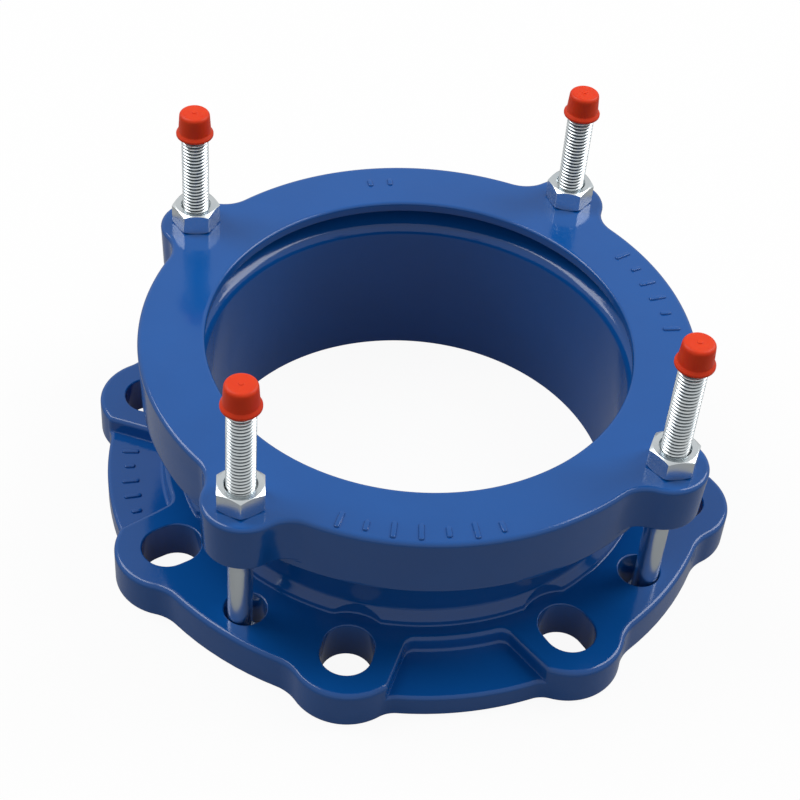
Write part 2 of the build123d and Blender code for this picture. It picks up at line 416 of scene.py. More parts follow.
def moulded_rubber():
    """EPDM rubber: near black, rough, with a fine moulded grain."""
    material, tree, place = start_material("moulded_epdm_rubber")
    grain = add_node(tree, "TexNoise", inputs={
        "Vector": place, "Scale": scale_of(RUBBER_GRAIN_MM), "Detail": 2.0})
    tint = add_node(tree, "Mix", {"data_type": "RGBA"},
                    {0: grain.outputs[0], 6: linear("#141414"), 7: linear("#202021")})
    bump = add_node(tree, "Bump", inputs={
        "Strength": 0.3, "Distance": 0.05 * MM, "Height": grain.outputs[0]})
    matt = add_node(tree, "BsdfPrincipled", inputs={
        "Base Color": tint.outputs[2], "Roughness": 0.62, "IOR": 1.52, "Normal": bump.outputs[0]})
    add_node(tree, "OutputMaterial", inputs={"Surface": matt.outputs[0]})
    return material


def cap_plastic():
    """Soft polyethylene: saturated orange red, satin, a little light under the skin."""
    material, tree, place = start_material("orange_red_polyethylene")
    cloud = add_node(tree, "TexNoise", inputs={
        "Vector": place, "Scale": scale_of(CLOUD_MM), "Detail": 2.0})
    grain = add_node(tree, "TexNoise", inputs={
        "Vector": place, "Scale": scale_of(CAP_GRAIN_MM), "Detail": 1.0})
    tint = add_node(tree, "Mix", {"data_type": "RGBA"},
                    {0: cloud.outputs[0], 6: linear("#E23207"), 7: linear("#EC430D")})
    bump = add_node(tree, "Bump", inputs={
        "Strength": 0.25, "Distance": 0.04 * MM, "Height": grain.outputs[0]})
    wall = add_node(tree, "BsdfPrincipled", inputs={
        "Base Color": tint.outputs[2], "Roughness": 0.45, "IOR": 1.51, "Specular IOR Level": 0.3,
        "Subsurface Weight": 0.3, "Subsurface Radius": (1.0, 0.3, 0.15),
        "Subsurface Scale": CAP_GLOW_MM * MM, "Normal": bump.outputs[0]})
    add_node(tree, "OutputMaterial", inputs={"Surface": wall.outputs[0]})
    return material


zinc = zinc_plate()
rubber = moulded_rubber()
red_plastic = cap_plastic()
print(zinc.name, rubber.name, red_plastic.name)

# %% [markdown]
# ## Outlines of the castings, seen from above
#
# Both castings are a disc with round bosses: four lugs on the ring, eight bolt pads on
# the flange. A pattern maker blends boss into disc with an arc, and that run of arcs is
# what makes the outline look cast and not sawn. Each curve is worked out for one eighth
# of the turn, from a line of symmetry to the next, then mirrored and repeated.

# %% Outline curves


def blend_arc(disc_r, boss, boss_r, blend_r, side):
    """Arc outside a disc and a boss that touches both: centre, touch on the disc, touch on
    the boss. Its centre is disc_r + blend_r from the axis and boss_r + blend_r from the
    boss, and the law of cosines gives the angle between it and the boss."""
    reach, boss_at = disc_r + blend_r, math.hypot(*boss)
    spread = math.acos((reach**2 + boss_at**2 - (boss_r + blend_r) ** 2) / (2 * reach * boss_at))
    centre = polar(reach, math.degrees(math.atan2(boss[1], boss[0]) + side * spread))
    return centre, centre * disc_r / reach, centre + (boss - centre) * blend_r / (boss_r + blend_r)


def whole_turn(eighth):
    """The points from 0 to 45 degrees mirrored about 45 degrees, then four quarter turns."""
    quarter = np.vstack([eighth, eighth[::-1, ::-1][1:-1]])
    x, y = quarter.T
    turns = [(x, y), (-y, x), (-x, -y), (y, -x)]
    return np.vstack([np.column_stack(turn) for turn in turns])


print("a whole turn of 3 points has", len(whole_turn(polar(1, np.array([0, 20, 45])))), "points")

# %% [markdown]
# ## The gland ring
#
# The ring is an upside-down channel: a flat plate, a deep skirt and four lugs. One loop
# of points, the outline seen from above, is carried right round the channel's section,
# so the whole ring is a single closed surface with no seam. The skirt leans in a little
# from top to foot, as a casting must to leave its mould, and the top edge is rounded.

# %% Gland ring
BORE_R = 92.6
RING_R = 121.25
LUG_R = 17.4
LUG_CIRCLE_R = 122.7
LUG_BLEND = 15.0
LUG_HOLE_R = 7.0
RING_DRAFT = math.tan(math.radians(2))
RING_EDGE = 2.0
RING_FOOT = 0.8
LUG_RISE = 5.5
LUG_EDGE = 1.0
LUG_FILLET = 2.0
RIM_EDGE = 1.3
RIM_BAND = 2
EDGE_BORDER = 0.4
PLATE_T = 5.3
SKIRT_IN_R = 112.0
SKIRT_BAND = 0.8
SKIRT_LIP = 0.4
CHANNEL_CORNER = 3.0
STUD_CIRCLE_R = 124.4
STUD_ANGLES = [45, 135, 225, 315]
QUARTER_ARC = np.linspace(0, math.pi / 2, 7)
FLARE_ARC = np.linspace(0, 1.3, 6)
ring_low, ring_top = (corner.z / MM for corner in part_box("gland_ring"))


def ring_outline():
    """Disc, blend and lug from 0 to 45 degrees, then the whole turn."""
    lug = polar(LUG_CIRCLE_R, 45)
    centre, on_disc, on_lug = blend_arc(RING_R, lug, LUG_R, LUG_BLEND, -1)
    disc = arc((0, 0), (RING_R, 0), on_disc, 26)
    turn_in = arc(centre, on_disc, on_lug, 10)
    around_lug = arc(lug, on_lug, polar(LUG_CIRCLE_R + LUG_R, 45), 20)
    return whole_turn(np.vstack([disc[:-1], turn_in[:-1], around_lug]))


def ring_rows():
    """Rim of the bore, top plate, rounded edge, leaning wall, the step under the lugs, the
    skirt's foot, then the channel."""
    outline = ring_outline()
    under = ring_top - PLATE_T
    rim = rounded_line([(BORE_R + RIM_BAND, under), (BORE_R, under), (BORE_R, ring_top),
                        (BORE_R + RIM_BAND, ring_top)], [0, RIM_EDGE, RIM_EDGE, 0])
    rows = turned_rows(outline, rim)
    rows += between(rows[-1][:, :2], inset(outline, RING_EDGE + EDGE_BORDER), ring_top, 12)[1:]
    rows += [at_height(inset(outline, RING_EDGE * (1 - math.sin(a))),
                       ring_top - RING_EDGE * (1 - math.cos(a))) for a in QUARTER_ARC]
    skirt, step_z = at_radius(outline, RING_R), ring_low + LUG_RISE
    wall = [(outline, z) for z in np.linspace(ring_top - RING_EDGE, step_z + LUG_EDGE, 7)[1:-1]]
    wall += step_rows(outline, skirt, step_z, LUG_EDGE, LUG_FILLET)
    wall += [(skirt, (step_z - LUG_FILLET + ring_low + RING_FOOT) / 2)]
    rows += [at_height(inset(curve, (ring_top - z) * RING_DRAFT), z) for curve, z in wall]
    foot_in = (ring_top - ring_low) * RING_DRAFT
    rows += [at_height(inset(skirt, foot_in + RING_FOOT * (1 - math.cos(a))),
                       ring_low + RING_FOOT * (1 - math.sin(a))) for a in QUARTER_ARC[::2]]
    channel = rounded_line([(SKIRT_IN_R + SKIRT_BAND, ring_low), (SKIRT_IN_R, ring_low),
                            (SKIRT_IN_R, under), (BORE_R + RIM_BAND, under)],
                           [0, SKIRT_LIP, CHANNEL_CORNER, 0])
    rows += between(rows[-1][:, :2], at_radius(outline, channel[0, 0]), ring_low, 5)[1:-1]
    return rows + turned_rows(outline, split_long(channel, 6.0)[:-1])


def drill(place, radius, low, high, edge=0.0, columns=40):
    """A closed round tool whose upper end flares by the radius of a rounded edge: at angle
    a the flare is edge (1 - cos a) wider, edge sin a above the edge's foot."""
    flare = [(radius + edge * (1 - math.cos(a)), high - edge + edge * math.sin(a))
             for a in FLARE_ARC] if edge else []
    line = [(radius, low), *flare, (radius + edge, high + 1.0)]
    return skin([at_height(place + circle(r, columns), z) for r, z in line])


ring = add_piece("ring_casting", make_mesh("ring_casting", skin(ring_rows(), closed=True)), iron,
                 "gland_ring", "gland_ring")
cut(ring, [drill(polar(STUD_CIRCLE_R, angle), LUG_HOLE_R, ring_low - 1, ring_top)
           for angle in STUD_ANGLES])
keep_flats(ring)
print("ring faces", len(ring.data.polygons))

# %% [markdown]
# ## The body's outlines
#
# The flange has two levels. A thin disc runs right round, and eight thick pads stand on
# it with a pocket between each second pair, which saves iron. Seen from above, both
# levels are one curve each, and they part only at the pockets. The pocket's sides flare
# outwards, so the pattern leaves the sand, and every corner in it is an arc.

# %% Flange outlines
HUB_R = 105.2
FLANGE_R = 137.0
HOLE_CIRCLE_R = 122.0
PAD_R = 24.5
STUD_SIDE_BLEND = 18.0
POCKET_SIDE_BLEND = 12.0
POCKET_R = 112.0
POCKET_FLARE = math.tan(math.radians(28))
POCKET_STEP = 0.3
POCKET_CORNER = 5.0
PAD_CORNER = 4.0
HOLE_ANGLES = 22.5 + 45 * np.arange(8)


def side_corner(side_at, circle_centre, circle_r, corner_r, side):
    """Arc that rounds the corner between the pocket's side, the line through side_at, and
    a circle: centre, touch on the line, touch on the circle. The centre is corner_r from
    the line, on the pad's side (1) or the pocket's (-1), and touches the circle from
    outside, so it is circle_r + corner_r from the circle's centre."""
    along = np.array([1, POCKET_FLARE]) / math.hypot(1, POCKET_FLARE)
    square = np.array([-along[1], along[0]]) * corner_r * side
    reach = circle_r + corner_r
    foot = side_at + square - circle_centre
    half = foot @ along
    centre = circle_centre + foot - along * (half + side * math.sqrt(half**2 - foot @ foot + reach**2))
    return centre, centre - square, circle_centre + (centre - circle_centre) * circle_r / reach


def flange_outlines():
    """The pads' curve, and for each of its points the disc's curve in the same direction."""
    pad = polar(HOLE_CIRCLE_R, HOLE_ANGLES[0])
    tip = polar(HOLE_CIRCLE_R + PAD_R, HOLE_ANGLES[0])
    blend, blend_disc, blend_pad = blend_arc(FLANGE_R, pad, PAD_R, STUD_SIDE_BLEND, 1)
    notch, notch_disc, notch_pad = blend_arc(FLANGE_R, pad, PAD_R, POCKET_SIDE_BLEND, -1)
    meet = (FLANGE_R**2 + HOLE_CIRCLE_R**2 - PAD_R**2) / (2 * FLANGE_R * HOLE_CIRCLE_R)
    side_at = polar(FLANGE_R, HOLE_ANGLES[0] - math.degrees(math.acos(meet))) + (0, POCKET_STEP)
    back, back_side, back_arc = side_corner(side_at, np.zeros(2), POCKET_R, POCKET_CORNER, -1)
    lip, lip_side, lip_notch = side_corner(side_at, notch, POCKET_SIDE_BLEND, PAD_CORNER, 1)
    shared = [arc(notch, lip_notch, notch_pad, 7)[1:], arc(pad, notch_pad, tip, 18)[1:],
              arc(pad, tip, blend_pad, 12)[1:], arc(blend, blend_pad, blend_disc, 10)[1:],
              arc((0, 0), blend_disc, polar(FLANGE_R, 45), 5)[1:]]
    side = split_long(np.array([back_side, lip_side]), 2.5)
    pads = np.vstack([arc((0, 0), (POCKET_R, 0), back_arc, 10), arc(back, back_arc, back_side, 7)[1:],
                      side[1:], arc(lip, lip_side, lip_notch, 9)[1:], *shared])
    disc = np.vstack([arc((0, 0), (FLANGE_R, 0), notch_disc, 60),
                      arc(notch, notch_disc, lip_notch, 12)[1:], *shared])
    direction = np.arctan2(pads[:, 1], pads[:, 0])
    radius = np.interp(direction, np.arctan2(disc[:, 1], disc[:, 0]), np.linalg.norm(disc, axis=1))
    return whole_turn(pads), whole_turn(at_radius(pads, radius))


pads_curve, disc_curve = flange_outlines()
print("columns of the body", len(pads_curve))

# %% [markdown]
# ## The body casting
#
# The body is again one closed surface: up the bore, out over the sloping seat where the
# gasket sits, down the outside of the mouth and barrel, over the hub, across the pads,
# down the edge and back under the flange. The lip between bore and seat is well
# rounded, and it catches the light. The hub is bitten by a round clearance at every
# bolt hole, so a spanner's socket can turn; that bite is simply the smaller of two
# radii. Bolt slots, stud holes and the recesses for the studs' heads are cut last.

# %% Body rows
BARREL_R = 101.5
MOUTH_R = 107.0
SEAT_END_R = 104.0
SEAT_START_Z = 71.1
SEAT_LIP = 6.0
SEAT_SLOPE = math.tan(math.radians(30))
SEAT_END_Z = SEAT_START_Z + (SEAT_END_R - BORE_R) * SEAT_SLOPE
MOUTH_FOOT_Z = SEAT_END_Z - 9.0
TAPER_FOOT_Z = MOUTH_FOOT_Z - 8.0
PAD_T = 18.7
FLOOR_T = 11.2
HUB_TOP_Z = PAD_T + 2.6
SHOULDER_Z = HUB_TOP_Z + 3.4
PAD_EDGE = 2.2
FLOOR_FILLET = 1.6
FLOOR_EDGE = 1.8
FACE_EDGE = 1.2
HUB_FILLET = 1.0
HUB_EDGE = 1.2
MOUTH_EDGE = 1.4
NECK_ROUND = 4.0
BORE_EDGE = 0.6
BITE_R = 20.0


def bite_radius(curve):
    """Distance along each column's direction to the near side of its nearest clearance,
    a circle of radius b about a bolt hole: c cos d - sqrt(b b - (c sin d)^2), where c is
    the hole circle's radius and d the direction from the hole."""
    direction = np.degrees(np.arctan2(curve[:, 1], curve[:, 0]))
    off = np.radians((direction - HOLE_ANGLES[0] + 22.5) % 45 - 22.5)
    reach = BITE_R**2 - (HOLE_CIRCLE_R * np.sin(off)) ** 2
    return np.where(reach > 0, HOLE_CIRCLE_R * np.cos(off) - np.sqrt(np.maximum(reach, 0)), HUB_R + 1)


def body_rows():
    """Rows from the foot of the bore round the section and back under the flange."""
    tube = split_long(rounded_line(
        [(BORE_R, BORE_EDGE), (BORE_R, SEAT_START_Z), (SEAT_END_R, SEAT_END_Z), (MOUTH_R, SEAT_END_Z),
         (MOUTH_R, MOUTH_FOOT_Z), (BARREL_R, TAPER_FOOT_Z), (BARREL_R, SHOULDER_Z), (HUB_R, HUB_TOP_Z),
         (HUB_R, PAD_T), (HUB_R + 3, PAD_T)],
        [0, SEAT_LIP, MOUTH_EDGE, MOUTH_EDGE, NECK_ROUND, NECK_ROUND, NECK_ROUND, HUB_EDGE,
         HUB_FILLET, 0], 9), 8.0)
    low = (tube[:, 1] < SHOULDER_Z + 2) & (tube[:, 0] > BORE_R + 5)
    bite = bite_radius(pads_curve)
    rows = turned_rows(pads_curve, tube[~low])
    rows += [at_height(at_radius(pads_curve, np.minimum(r, bite + max(r - HUB_R, 0))), z)
             for r, z in split_long(tube[low], 0.7)]
    rows += between(rows[-1][:, :2], inset(pads_curve, PAD_EDGE + 0.3), PAD_T, 6)[1:]
    rows += [at_height(inset(pads_curve, PAD_EDGE * (1 - math.sin(a))),
                       PAD_T - PAD_EDGE * (1 - math.cos(a))) for a in QUARTER_ARC]
    rows += [at_height(pads_curve, z)
             for z in np.linspace(PAD_T - PAD_EDGE, FLOOR_T + FLOOR_FILLET, 4)[1:-1]]
    rows += [at_height(curve, z)
             for curve, z in step_rows(pads_curve, disc_curve, FLOOR_T, FLOOR_FILLET, FLOOR_EDGE)]
    rows += [at_height(disc_curve, z) for z in np.linspace(FLOOR_T - FLOOR_EDGE, FACE_EDGE, 3)[1:]]
    rows += [at_height(inset(disc_curve, FACE_EDGE * (1 - math.cos(a))), FACE_EDGE * (1 - math.sin(a)))
             for a in QUARTER_ARC[1:]]
    return rows + between(rows[-1][:, :2], at_radius(pads_curve, BORE_R + BORE_EDGE), 0.0, 5)[1:]


body = add_piece("body_casting", make_mesh("body_casting", skin(body_rows(), closed=True)), iron,
                 "flange", "flange_body")
print("body faces before cutting", len(body.data.polygons))

# %% [markdown]
# ## Bolt slots, stud holes and head recesses
#
# The slots are a little longer than they are wide, so that the flange fits two drilling
# patterns. Their upper edges are rounded by the coating. Each is cut with a closed tool
# whose side is the slot's own curve and whose upper end flares, so the cut and its
# rounded edge are made together.

# %% Cut the body
SLOT_LENGTH = 26.0
SLOT_W = 22.0
HOLE_EDGE = 0.8
STUD_HOLE_R = 9.0
STUD_HOLE_CIRCLE_R = 121.0
RECESS_W, RECESS_L, RECESS_DEPTH, RECESS_CORNER = 17.0, 32.0, 8.0, 4.0


def slot_tool(angle):
    """The slot's curve, two half circles and their tangents, with a flared upper end."""
    half = (SLOT_LENGTH - SLOT_W) / 2
    out = (half, 0) + polar(SLOT_W / 2, np.linspace(-90, 90, 25))
    back = (-half, 0) + polar(SLOT_W / 2, np.linspace(90, 270, 25))
    curve = np.vstack([out, back])
    flare = [(HOLE_EDGE * (1 - math.cos(a)), PAD_T - HOLE_EDGE + HOLE_EDGE * math.sin(a))
             for a in FLARE_ARC]
    line = [(0, -1), *flare, (HOLE_EDGE, PAD_T + 1)]
    return skin([at_height(turned_to(inset(curve, -wider), HOLE_CIRCLE_R, angle), z)
                 for wider, z in line])


def recess_tool(angle):
    """The rounded rectangle that the stud's head sits in, cut from below."""
    w, h = RECESS_W / 2, RECESS_L / 2
    loop = rounded_loop([(w, -h), (w, h), (-w, h), (-w, -h)], RECESS_CORNER)
    flat = turned_to(loop, STUD_CIRCLE_R, angle)
    return skin([at_height(flat, -1), at_height(flat, RECESS_DEPTH)])


cut(body, [slot_tool(angle) for angle in HOLE_ANGLES]
    + [drill(polar(STUD_HOLE_CIRCLE_R, angle), STUD_HOLE_R, -1, PAD_T, HOLE_EDGE)
       for angle in STUD_ANGLES])
cut(body, [recess_tool(angle) for angle in STUD_ANGLES])
keep_flats(body)
print("body faces", len(body.data.polygons))

# %% [markdown]
# ## Raised marks on the castings
#
# A foundry's pattern leaves raised marks on a casting, which the coat half fills. On
# this part they are plain bars. They could be built into the casting's own grid, but a
# bar with a tapered side that is sunk a little into the surface looks the same, and it
# keeps that grid simple. Each row of bars is a radius, a first direction and a step in
# degrees, and the bars' lengths.

# %% Raised bars
BAR_W = 2.4
BAR_CORNER = 1.0
BAR_HIGH = 0.8
BAR_SUNK = 0.4
BAR_LEAN = math.tan(math.radians(25))
BAR_BEND = 0.35
RING_BARS = [(114.5, -116.5, 5.4, [9, 6, 9, 9, 6, 9, 6]), (111.5, -4.0, 5.4, [8, 5, 8, 8, 5, 8]),
             (108.5, 87.0, 5.0, [5, 5])]
FLOOR_BARS = [(127.0, 171.5, 4.2, [8, 5, 8, 8, 5])]


def bar_rows(radius, angle, z, length):
    """One bar that points at the pipe's axis: a rounded rectangle whose side leans in by
    tan 25 of its height, then bends on to its top by a quarter circle."""
    h, w = length / 2, BAR_W / 2
    curve = rounded_loop([(h, -w), (h, w), (-h, w), (-h, -w)], BAR_CORNER, 5)
    side_h = BAR_HIGH - BAR_BEND
    profile = [(0, -BAR_SUNK), (0, 0), (side_h * BAR_LEAN, side_h)]
    profile += [(side_h * BAR_LEAN + BAR_BEND * (1 - math.cos(a)), side_h + BAR_BEND * math.sin(a))
                for a in QUARTER_ARC[2::2]]
    return [at_height(turned_to(inset(curve, depth), radius, angle), z + rise)
            for depth, rise in profile]


def bars(layout, z):
    """All the bars of a layout at a height: bar i of a row stands i steps from its first."""
    return [skin(bar_rows(radius, first + step * i, z, length))
            for radius, first, step, lengths in layout for i, length in enumerate(lengths)]


ring_bars, floor_bars = bars(RING_BARS, ring_top), bars(FLOOR_BARS, FLOOR_T)
add_piece("ring_marks", make_mesh("ring_marks", *ring_bars), iron, "gland_ring")
add_piece("body_marks", make_mesh("body_marks", *floor_bars), iron, "flange")
print("bars", len(ring_bars) + len(floor_bars))

# %% [markdown]
# ## The gasket
#
# The rubber ring fills the wedge between the body's seat and the ring's plate. It is
# hidden once the ring is on, but it shows from below and when the ring is lifted, so it
# is turned from its own section with moulded roundings. It stays with the body.

# %% Gasket
GASKET_IN_R = 100.3
GASKET_OUT_R = SKIRT_IN_R - 0.4
GASKET_GAP = 0.3
GASKET_LEG = 6.0
GASKET_EDGE = 1.0


def gasket_rows():
    """The wedge with its leg outside the mouth, turned about the pipe's axis. A gap square
    to the seat lifts the wedge by gap / cos 30."""
    leg_r, lift = MOUTH_R + GASKET_GAP, GASKET_GAP / math.cos(math.radians(30))
    low, high = SEAT_END_Z - GASKET_LEG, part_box("sealing_gasket")[1].z / MM
    inner_low = SEAT_START_Z + (GASKET_IN_R - BORE_R) * SEAT_SLOPE + lift
    seam = (GASKET_IN_R, (inner_low + high) / 2)
    line = rounded_line(
        [seam, (GASKET_IN_R, high), (GASKET_OUT_R, high), (GASKET_OUT_R, low), (leg_r, low),
         (leg_r, SEAT_END_Z + lift), (SEAT_END_R, SEAT_END_Z + lift), (GASKET_IN_R, inner_low), seam],
        [0, GASKET_EDGE, CHANNEL_CORNER, GASKET_EDGE, GASKET_EDGE, 0, 0, GASKET_EDGE, 0])
    return turned_rows(circle(1, 180), line[:-1])


gasket = add_piece("rubber_gasket", make_mesh("rubber_gasket", skin(gasket_rows(), closed=True)), rubber,
                   "flange", "sealing_gasket")
print("gasket faces", len(gasket.data.polygons))

# %% [markdown]
# ## Studs with rolled threads
#
# A stud is one closed surface too: the tee head is a rounded rectangle, its flat top
# runs in to the round shank, and the thread is the shank's radius rising and falling
# with the helix. The thread's phase is height over pitch less the share of a turn, and
# its profile is a flat-topped wave, so one formula shapes fifty turns at once. Each
# point also stores its depth in the thread, which the zinc's material reads.

# %% Studs
THREAD_R = 6.0
SHANK_R = 5.3
PITCH = 1.75
THREAD_DEPTH = 1.07
THREAD_FROM = 60.7
THREAD_RISE = 0.7
THREAD_FADE = 1.5 * PITCH
END_CHAMFER = 1.2
HEAD_W, HEAD_L, HEAD_T = 15.0, 30.0, 7.0
HEAD_CORNER, HEAD_ROUND, HEAD_EDGE = 3.0, 0.8, 0.4
STUD_COLUMNS = 48
ROWS_PER_TURN = 10


def thread_radius(z, angle, top):
    """Outer radius of the thread: crest, less the depth times a wave clipped flat at crest
    and root, faded in over the first turn and a half and cut by the chamfer at the top."""
    phase = (z / PITCH - angle / (2 * math.pi)) % 1
    wave = np.clip(np.abs(phase - 0.5) * 2.5 - 0.125, 0, 1)
    fade = np.clip((z - THREAD_FROM) / THREAD_FADE, 0, 1)
    crest = SHANK_R + (THREAD_R - SHANK_R) * np.clip((z - THREAD_FROM) / THREAD_RISE + 1, 0, 1)
    return np.minimum(crest - THREAD_DEPTH * wave * fade, THREAD_R - END_CHAMFER + (top - z))


def head_curve():
    """The head's rounded rectangle, its points evenly spaced along it from the +X side."""
    w, h = HEAD_W / 2, HEAD_L / 2
    loop = rounded_loop([(w, h), (-w, h), (-w, -h), (w, -h)], HEAD_CORNER, 8)
    loop = np.vstack([(w, 0), loop, (w, 0)])
    run = np.r_[0, np.cumsum(np.linalg.norm(np.diff(loop, axis=0), axis=1))]
    share = np.linspace(0, run[-1], STUD_COLUMNS, endpoint=False)
    return np.column_stack([np.interp(share, run, loop[:, 0]), np.interp(share, run, loop[:, 1])])


def stud_rows(low, top):
    """Head from below, its top in to the shank, shank, thread and chamfered end."""
    head, shank, high = head_curve(), circle(SHANK_R, STUD_COLUMNS), low + HEAD_T
    rows = between(head * 0.3, inset(head, HEAD_ROUND), low, 3)
    rows += [at_height(inset(head, HEAD_ROUND * (1 - math.sin(a))),
                       low + HEAD_ROUND * (1 - math.cos(a))) for a in QUARTER_ARC[1::2]]
    rows += [at_height(head, high - HEAD_EDGE)]
    rows += between(inset(head, HEAD_EDGE), shank, high, 5)
    rows += [at_height(shank, z) for z in np.linspace(high, THREAD_FROM - THREAD_RISE, 6)[1:]]
    count = round((top - THREAD_FROM) / PITCH * ROWS_PER_TURN)
    z = np.linspace(THREAD_FROM - THREAD_RISE, top, count)[1:, None]
    angle = np.arange(STUD_COLUMNS) * 2 * math.pi / STUD_COLUMNS
    radius = thread_radius(z, angle[None, :], top)
    thread = np.stack([radius * np.cos(angle), radius * np.sin(angle), z + 0 * radius], -1)
    return np.concatenate([np.array(rows), thread])


def mark_grooves(mesh, rows):
    """Give every point of a stud its depth below the crest, as a share of the thread's."""
    depth = (THREAD_R - np.linalg.norm(rows[..., :2], axis=-1)) / THREAD_DEPTH
    depth = np.where(rows[..., 2] > THREAD_FROM, np.clip(depth, 0, 1), 0).ravel()
    mesh.attributes.new("groove", "FLOAT", "POINT").data.foreach_set("value", np.r_[depth, 0, 0])


for number, angle in enumerate(STUD_ANGLES, 1):
    low, top = (corner.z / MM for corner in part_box(f"tee_bolt_{number}"))
    rows = stud_rows(low, top)
    mesh = make_mesh(f"stud_{number}", skin(placed(rows, STUD_CIRCLE_R, angle)))
    mark_grooves(mesh, rows)
    stud = add_piece(f"stud_{number}", mesh, zinc, "flange", f"tee_bolt_{number}", 65)
print("stud faces", len(stud.data.polygons))

# %% [markdown]
# ## Nuts
#
# A forged nut is a hexagon whose corners were turned off at 30 degrees, top and bottom,
# which leaves a curved edge on every flat. In each column the flat ends where the cone
# has the hexagon's radius, so the curved edge comes out exactly. Each nut stopped where
# the spanner left it, so each has its own turn.

# %% Nuts
NUT_FLAT_R = 9.5
NUT_FACE_R = 9.2
NUT_SOCKET_R = 6.05
NUT_MOUTH = 0.8
NUT_CORNER = 0.5
NUT_TURNS = [40.7, 54.9, 23.1, 60.0]


def nut_rows(low, high):
    """Bore, countersink, top face, cone, flats, cone, lower face and countersink. The cone
    drops (hexagon's radius - face's radius) tan 30 below the face."""
    corners = polar(NUT_FLAT_R / math.cos(math.radians(30)), np.arange(6) * 60)
    loop = rounded_loop(list(corners), NUT_CORNER, 5)
    loop = split_long(np.vstack([loop, loop[:1]]), 1.0)[:-1]
    drop = (np.linalg.norm(loop, axis=1) - NUT_FACE_R) * math.tan(math.radians(30))
    socket, mouth = at_radius(loop, NUT_SOCKET_R), at_radius(loop, NUT_SOCKET_R + NUT_MOUTH)
    face = at_radius(loop, NUT_FACE_R)
    rows = [at_height(socket, z) for z in np.linspace(low + NUT_MOUTH, high - NUT_MOUTH, 3)]
    rows += between(mouth, face, high, 3)
    rows += [at_height((face + loop) / 2, high - drop / 2), at_height(loop, high - drop)]
    rows += [at_height(loop, low + drop), at_height((face + loop) / 2, low + drop / 2)]
    return rows + between(face, mouth, low, 3)


for number, angle in enumerate(STUD_ANGLES, 1):
    low, high = (corner.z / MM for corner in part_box(f"hex_nut_{number}"))
    rows = placed(nut_rows(low, high), STUD_CIRCLE_R, angle, NUT_TURNS[number - 1] - angle)
    nut = add_piece(f"nut_{number}", make_mesh(f"nut_{number}", skin(rows, closed=True)), zinc,
                    f"nut_{number}", f"hex_nut_{number}", 25)
print("nut faces", len(nut.data.polygons))

# %% [markdown]
# ## Thread caps
#
# The caps are injection-moulded sleeves, pushed on to keep paint and knocks off the
# threads. The moulder's marks are what make them real: a flared mouth, a wall that
# tapers for draw, a rounded top, and the small nib where the plastic came in.

# %% Caps
CAP_SOCKET_R = 6.05
CAP_ROOF = 0.5
CAP_FLARE_W, CAP_FLARE_H = 2.15, 1.1
CAP_FOOT_W, CAP_FOOT_H = 1.15, 2.4
CAP_TOP_W, CAP_DOME = 0.55, 1.7
CAP_NIB_R, CAP_NIB_H = 1.2, 0.35
CAP_COLUMNS = 64


def cap_rows(low, high, stud_top):
    """Socket roof, socket, flared mouth, shoulder, tapered wall, domed top and nib. Widths
    of the wall are measured from the socket, and heights from the mouth."""
    top, roof = high - CAP_NIB_H, stud_top + CAP_ROOF
    flare_r, foot_r = CAP_SOCKET_R + CAP_FLARE_W, CAP_SOCKET_R + CAP_FOOT_W
    outer = rounded_line(
        [(CAP_SOCKET_R, low), (flare_r, low), (flare_r, low + CAP_FLARE_H), (foot_r, low + CAP_FOOT_H),
         (CAP_SOCKET_R + CAP_TOP_W, top), (CAP_NIB_R, top), (CAP_NIB_R - 0.2, high), (0.2, high)],
        [0, 0.35, 0.4, 0.6, CAP_DOME, 0.15, 0.1, 0])
    inner = np.array([(0.2, roof), (CAP_SOCKET_R - 0.3, roof), (CAP_SOCKET_R, stud_top)])
    line = np.vstack([inner, split_long(outer, 1.5)])
    return [at_height(circle(r, CAP_COLUMNS), z) for r, z in line]


for number, angle in enumerate(STUD_ANGLES, 1):
    low, high = (corner.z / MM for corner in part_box(f"thread_cap_{number}"))
    stud_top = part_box(f"tee_bolt_{number}")[1].z / MM
    rows = placed(cap_rows(low, high, stud_top), STUD_CIRCLE_R, angle)
    cap = add_piece(f"cap_{number}", make_mesh(f"cap_{number}", skin(rows)), red_plastic,
                    f"cap_{number}", f"thread_cap_{number}")
print("cap faces", len(cap.data.polygons))

# %% [markdown]
# ## Floor, light and camera
#
# The object stands on a plain white sweep, a hair below its underside. Two tall soft
# boxes, one on the left and one on the right, light it from above and draw the pale
# reflections on the lip of the mouth, and a dim world fills the shade. Light Path makes
# the floor and the world white to the eye, while they light the object as a grey room
# would. A gloss coat sees only a share of that white, because all of it would wash the
# blue out. The camera is where the picture's was, worked out from the studs and the
# rims, for a square frame.

# %% Floor and world
FILL = 0.42
FLOOR_GLOSS = 0.15
WORLD_GLOSS = 0.45
FLOOR_HALF = 6.0
FLOOR_DROP = 0.1
FLOOR_GLOW = 0.93


def eye_rays(tree, gloss_share):
    """1 for rays from the camera or through glass, a share for rays off a gloss, else 0."""
    path = add_node(tree, "LightPath")
    gloss = add_node(tree, "Math", {"operation": "MULTIPLY"},
                     {0: path.outputs["Is Glossy Ray"], 1: gloss_share})
    clear = add_node(tree, "Math", {"operation": "MAXIMUM"},
                     {0: path.outputs["Is Camera Ray"], 1: path.outputs["Is Transmission Ray"]})
    seen = add_node(tree, "Math", {"operation": "MAXIMUM"}, {0: clear.outputs[0], 1: gloss.outputs[0]})
    return seen.outputs[0]


